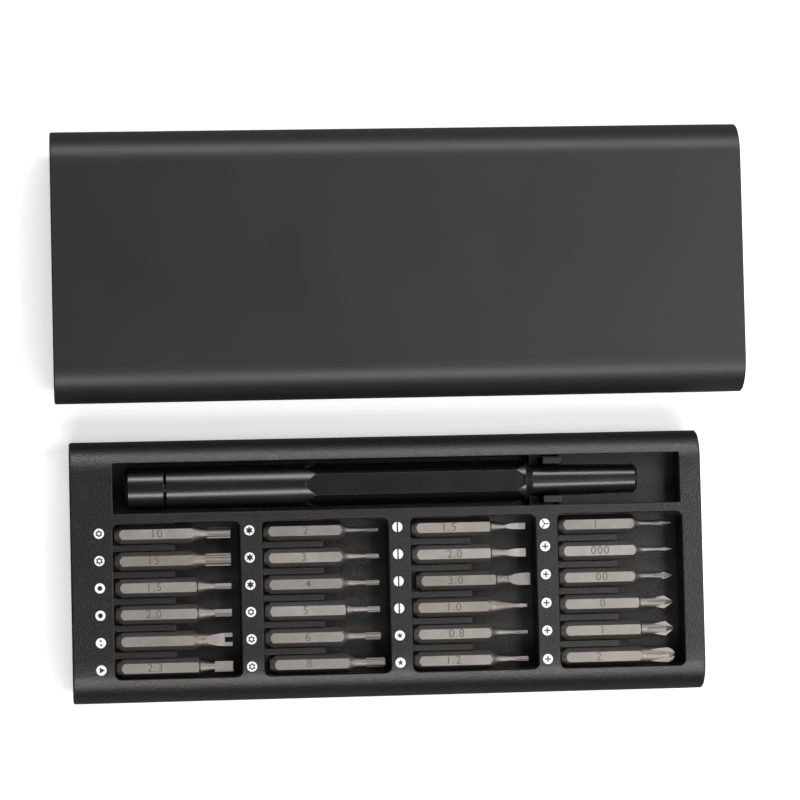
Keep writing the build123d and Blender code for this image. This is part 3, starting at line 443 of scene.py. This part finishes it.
FINISHES = {
    "tray_plastic": tray_black,
    "cover_plastic": tray_black,
    "screw_steel": black_screw,
    "magnet_nickel": nickel,
    "striker_steel": plain_steel,
    "sleeve_aluminium": anodised_sleeve(),
    "dot_felt": pressed_felt(),
    "plug_plastic": dark_plastic,
    "latch_plastic": dark_plastic,
    "spring_steel": plain_steel,
    "handle_aluminium": anodised_handle(),
    "socket_steel": plain_steel,
    "bearing_brass": brass(),
    "bit_steel": bit_steel,
}
for subpart in frame["record"]["subparts"]:
    mesh = NODES[subpart["node"]].data
    mesh.materials.clear()
    mesh.materials.append(FINISHES[subpart["material_slot"]])


def squeezed_spring():
    """A copy of the latch's spring with its own mesh, on the sleeve's body, in place of the hidden
    original.
    """
    model = NODES["latch_spring"]
    spring = bpy.data.objects.new("spring_coil", model.data.copy())
    spring.matrix_world = model.matrix_world.copy()
    bpy.context.scene.collection.objects.link(spring)
    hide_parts("latch_spring")
    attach(spring, "sleeve")
    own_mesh(spring)


squeezed_spring()


# ------------------------------------------------------------------ printed icons
ICON_RADIUS = 1.2 * MM
INK_THICKNESS = 0.02 * MM
ROUND_STEPS = 48
DOT_STEPS = 16
LOBE_STEPS = 12
LOBE_SHARPNESS = 1.4
ARC_STEPS = 24


def ring(radius, centre=(0.0, 0.0), steps=ROUND_STEPS):
    """Points round a circle."""
    turns = [math.tau * i / steps for i in range(steps)]
    return [(centre[0] + radius * math.cos(t), centre[1] + radius * math.sin(t)) for t in turns]


def star(points, outer, inner):
    """Points of a star with soft lobes, one of them on top."""
    outline = []
    for i in range(points * LOBE_STEPS):
        angle = math.tau * i / (points * LOBE_STEPS)
        wave = 0.5 + 0.5 * math.cos(points * angle)
        radius = inner + (outer - inner) * wave**LOBE_SHARPNESS
        outline.append((angle + math.radians(90), radius))
    return [(r * math.cos(a), r * math.sin(a)) for a, r in outline]


def polygon(sides, radius, turn=90.0):
    """Corners of a regular polygon."""
    angles = [math.radians(turn) + math.tau * i / sides for i in range(sides)]
    return [(radius * math.cos(a), radius * math.sin(a)) for a in angles]


def bars(count, length, width, turn=90.0):
    """One outline of equal arms that meet in the middle, such as a plus."""
    outline = []
    half = math.pi / count
    root = width / 2 / math.sin(half)
    for i in range(count):
        a = math.radians(turn) + math.tau * i / count
        along, across = Vector((math.cos(a), math.sin(a))), Vector((-math.sin(a), math.cos(a)))
        outline.append(tuple(along * length - across * width / 2))
        outline.append(tuple(along * length + across * width / 2))
        outline.append((root * math.cos(a + half), root * math.sin(a + half)))
    return outline


def half_discs(radius, gap):
    """The two halves of a disc with a slot between them."""
    limit = math.acos(gap / 2 / radius)
    arc = [limit * (2 * i / ARC_STEPS - 1) for i in range(ARC_STEPS + 1)]
    right = [(radius * math.cos(t), radius * math.sin(t)) for t in arc]
    return [right, [(-x, -y) for x, y in right]]


# the outlines of each icon, in shares of its radius: the disc first, then what is cut from it
R = ICON_RADIUS
ICON_SHAPES = {
    "lobe": [ring(R), star(6, 0.78 * R, 0.44 * R)],
    "lobe_pin": [ring(R), star(6, 0.74 * R, 0.5 * R), ring(0.3 * R)],
    "hex": [ring(R), polygon(6, 0.52 * R, 0)],
    "fork": [
        ring(R),
        ring(0.2 * R, (-0.05 * R, 0.4 * R), DOT_STEPS),
        ring(0.2 * R, (0.05 * R, -0.4 * R), DOT_STEPS),
    ],
    "triangle": [ring(R), polygon(3, 0.68 * R, 0)],
    "slot": half_discs(R, 0.3 * R),
    "five_lobe": [ring(R), star(5, 0.56 * R, 0.26 * R)],
    "tri_wing": [ring(R), bars(3, 0.93 * R, 0.2 * R, 0)],
    "cross": [ring(R), bars(4, 0.6 * R, 0.26 * R, 0)],
}

# each pocket's bits from top to bottom: the bit, its icon and the size etched on it
COLUMNS = [
    [
        ("bit_lobe_pin_27", "lobe_pin", "10"),
        ("bit_lobe_pin_32", "lobe_pin", "15"),
        ("bit_hex_15", "hex", "1.5"),
        ("bit_hex_20", "hex", "2.0"),
        ("bit_fork", "fork", ""),
        ("bit_triangle", "triangle", "2.3"),
    ],
    [
        ("bit_lobe_09", "lobe", "2"),
        ("bit_lobe_10", "lobe", "3"),
        ("bit_lobe_12", "lobe", "4"),
        ("bit_lobe_14", "lobe_pin", "5"),
        ("bit_lobe_pin_16", "lobe_pin", "6"),
        ("bit_lobe_pin_22", "lobe_pin", "8"),
    ],
    [
        ("bit_slot_15", "slot", "1.5"),
        ("bit_slot_20", "slot", "2.0"),
        ("bit_slot_30", "slot", "3.0"),
        ("bit_slot_10", "slot", "1.0"),
        ("bit_five_lobe_08", "five_lobe", "0.8"),
        ("bit_five_lobe_12", "five_lobe", "1.2"),
    ],
    [
        ("bit_tri_wing", "tri_wing", "1"),
        ("bit_cross_000", "cross", "000"),
        ("bit_cross_00", "cross", "00"),
        ("bit_cross_0", "cross", "0"),
        ("bit_cross_1", "cross", "1"),
        ("bit_cross_2", "cross", "2"),
    ],
]


def flat_piece(name, outlines, thickness, material):
    """A thin flat mesh from closed outlines; an outline inside another is a hole."""
    curve = bpy.data.curves.new(name, "CURVE")
    curve.dimensions = "2D"
    curve.fill_mode = "BOTH"
    curve.extrude = thickness / 2
    for outline in outlines:
        spline = curve.splines.new("POLY")
        spline.points.add(len(outline) - 1)
        for point, (x, y) in zip(spline.points, outline):
            point.co = (x, y, 0, 1)
        spline.use_cyclic_u = True
    return meshed(name, curve, material)


def meshed(name, data, material):
    """Turns a curve or text into a mesh object with one material."""
    source = bpy.data.objects.new(name + "_source", data)
    bpy.context.scene.collection.objects.link(source)
    bpy.context.view_layer.update()
    mesh = bpy.data.meshes.new_from_object(source)
    bpy.data.objects.remove(source)
    mesh.name = name
    mesh.materials.clear()
    mesh.materials.append(material)
    piece = bpy.data.objects.new(name, mesh)
    bpy.context.scene.collection.objects.link(piece)
    return piece


WELD_DISTANCE = 1e-7


def weld(piece):
    """Joins the split vertices of a filled curve into one closed surface."""
    work = bmesh.new()
    work.from_mesh(piece.data)
    bmesh.ops.remove_doubles(work, verts=work.verts, dist=WELD_DISTANCE)
    bmesh.ops.recalc_face_normals(work, faces=work.faces)
    work.to_mesh(piece.data)
    work.free()


ink = printed_ink()
tray_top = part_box("tray")[1].z
ICON_LEFT = (3.62 * MM, 3.43 * MM, 3.5 * MM, 3.52 * MM)
ICON_ABOVE = 0.4 * MM
ICON_PITCH = 6.45 * MM
LAST_COLUMN = 3
LAST_COLUMN_DROPS = (0.0, 5.4, 12.1, 18.9, 25.5, 32.3)

for column, rows in enumerate(COLUMNS):
    low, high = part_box(rows[0][0])
    icon_x = low.x - ICON_LEFT[column]
    first_y = (low.y + high.y) / 2 + ICON_ABOVE
    for row, (_, shape, _) in enumerate(rows):
        icon = flat_piece(f"icon_{column + 1}_{row + 1}", ICON_SHAPES[shape], INK_THICKNESS, ink)
        weld(icon)
        drop = LAST_COLUMN_DROPS[row] * MM if column == LAST_COLUMN else ICON_PITCH * row
        icon_y = first_y - drop
        icon.data.transform(Matrix.Translation((icon_x, icon_y, tray_top + INK_THICKNESS / 2)))
        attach(icon, "tray")


# ------------------------------------------------------------------ etched sizes on the bits
TEXT_SIZE = 2.75 * MM
TEXT_FROM_REAR = 9.6 * MM
TEXT_SPACING = 1.15
TEXT_SWELL = 0.012 * MM
TEXT_WANDER_X = 0.8
TEXT_WANDER_Y = 0.05
ETCH_THICKNESS = 0.012 * MM
mark = etched_mark()

for rows in COLUMNS:
    for bit, _, size_text in rows:
        if not size_text:
            continue
        low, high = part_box(bit)
        text = bpy.data.curves.new("etch_" + bit, "FONT")
        text.body = size_text
        text.size = TEXT_SIZE
        text.align_x = "CENTER"
        text.align_y = "CENTER"
        text.space_character = TEXT_SPACING
        text.offset = TEXT_SWELL
        text.extrude = ETCH_THICKNESS / 2
        piece = meshed("etch_" + bit, text, mark)
        weld(piece)
        x = low.x + TEXT_FROM_REAR + dice.uniform(-TEXT_WANDER_X, TEXT_WANDER_X) * MM
        y = (low.y + high.y) / 2 + dice.uniform(-TEXT_WANDER_Y, TEXT_WANDER_Y) * MM
        piece.data.transform(Matrix.Translation((x, y, high.z + ETCH_THICKNESS / 4)))
        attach(piece, bit)


# ------------------------------------------------------------------ studio
FLOOR_HALF = 3.0
FLOOR_GAP = 0.05 * MM


def make_floor():
    """A wide pale floor just under the two rest faces."""
    mesh = bpy.data.meshes.new("studio_floor")
    corners = [(-1, -1), (1, -1), (1, 1), (-1, 1)]
    level = cad_box[0].z - FLOOR_GAP
    points = [(x * FLOOR_HALF, y * FLOOR_HALF, level) for x, y in corners]
    mesh.from_pydata(points, [], [(0, 1, 2, 3)])
    mesh.materials.append(paper_floor())
    floor = bpy.data.objects.new("studio_floor", mesh)
    bpy.context.scene.collection.objects.link(floor)


def softbox(name, place, target, size, power, tint=(1, 1, 1)):
    """A rectangular soft light that faces the target."""
    light = bpy.data.lights.new(name, "AREA")
    light.shape = "RECTANGLE"
    light.size, light.size_y = size
    light.energy = power
    light.color = tint
    lamp = bpy.data.objects.new(name, light)
    lamp.location = place
    lamp.rotation_mode = "QUATERNION"
    lamp.rotation_quaternion = (Vector(place) - Vector(target)).to_track_quat("Z", "Y")
    bpy.context.scene.collection.objects.link(lamp)


# the lights: how far off, how far from the zenith, their metres and watts
LIGHT_DISTANCE = 1.0
LIGHTS_RIGHT = 0.16
NORTH_ANGLE = math.radians(50)
NORTH_SIZE = (1.2, 0.26)
NORTH_POWER = 8.6
NORTH_TINT = (1.0, 0.985, 1.0)
SOUTH_ANGLE = math.radians(38)
SOUTH_SIZE = (1.1, 0.24)
SOUTH_POWER = 8.4
SOUTH_TINT = (1.0, 0.965, 0.94)
EAST_ANGLE = math.radians(44)
EAST_SIZE = (0.4, 0.9)
EAST_POWER = 6.0
FILL_STRENGTH = 0.06

middle = (cad_box[0] + cad_box[1]) / 2
north_way = Vector((LIGHTS_RIGHT, math.sin(NORTH_ANGLE), math.cos(NORTH_ANGLE)))
south_way = Vector((LIGHTS_RIGHT, -math.sin(SOUTH_ANGLE), math.cos(SOUTH_ANGLE)))
east_way = Vector((math.sin(EAST_ANGLE), 0.0, math.cos(EAST_ANGLE)))
north = middle + north_way * LIGHT_DISTANCE
south = middle + south_way * LIGHT_DISTANCE
east = middle + east_way * LIGHT_DISTANCE

make_floor()
softbox("north_softbox", north, middle, NORTH_SIZE, NORTH_POWER, NORTH_TINT)
softbox("south_softbox", south, middle, SOUTH_SIZE, SOUTH_POWER, SOUTH_TINT)
softbox("east_softbox", east, middle, EAST_SIZE, EAST_POWER)

world = bpy.data.worlds.new("studio")
world.use_nodes = True
fill = world.node_tree.nodes["Background"]
fill.inputs["Color"].default_value = (1.0, 1.0, 1.0, 1)
fill.inputs["Strength"].default_value = FILL_STRENGTH
bpy.context.scene.world = world
bpy.context.scene.view_settings.view_transform = "Standard"


# ------------------------------------------------------------------ camera
LEAN_LEFT = 0.0876
LEAN_SOUTH = 0.0457
ROLL = 0.0234
DISTANCE = 0.8
VIEW_WIDTH = 0.1914
SENSOR = 36.0
CLIP_NEAR = 0.05
CLIP_FAR = 20.0
TARGET = middle + Vector((-0.47, 2.5, 3.5)) * MM


def add_camera():
    """A long lens nearly straight above, leaning slightly to the left and the south."""
    back = Vector((-LEAN_LEFT, -LEAN_SOUTH, 1.0)).normalized()
    level_up = (Vector((0, 1, 0)) - back * back.y).normalized()
    level_right = level_up.cross(back)
    right = level_right * math.cos(ROLL) - level_up * math.sin(ROLL)
    up = level_up * math.cos(ROLL) + level_right * math.sin(ROLL)
    data = bpy.data.cameras.new("camera")
    data.sensor_width = SENSOR
    data.lens = SENSOR * DISTANCE / VIEW_WIDTH
    data.clip_start = CLIP_NEAR
    data.clip_end = CLIP_FAR
    camera = bpy.data.objects.new("camera", data)
    camera.rotation_mode = "QUATERNION"
    camera.rotation_quaternion = Matrix((right, up, back)).transposed().to_quaternion()
    camera.location = TARGET + back * DISTANCE
    bpy.context.scene.collection.objects.link(camera)
    bpy.context.scene.camera = camera


add_camera()
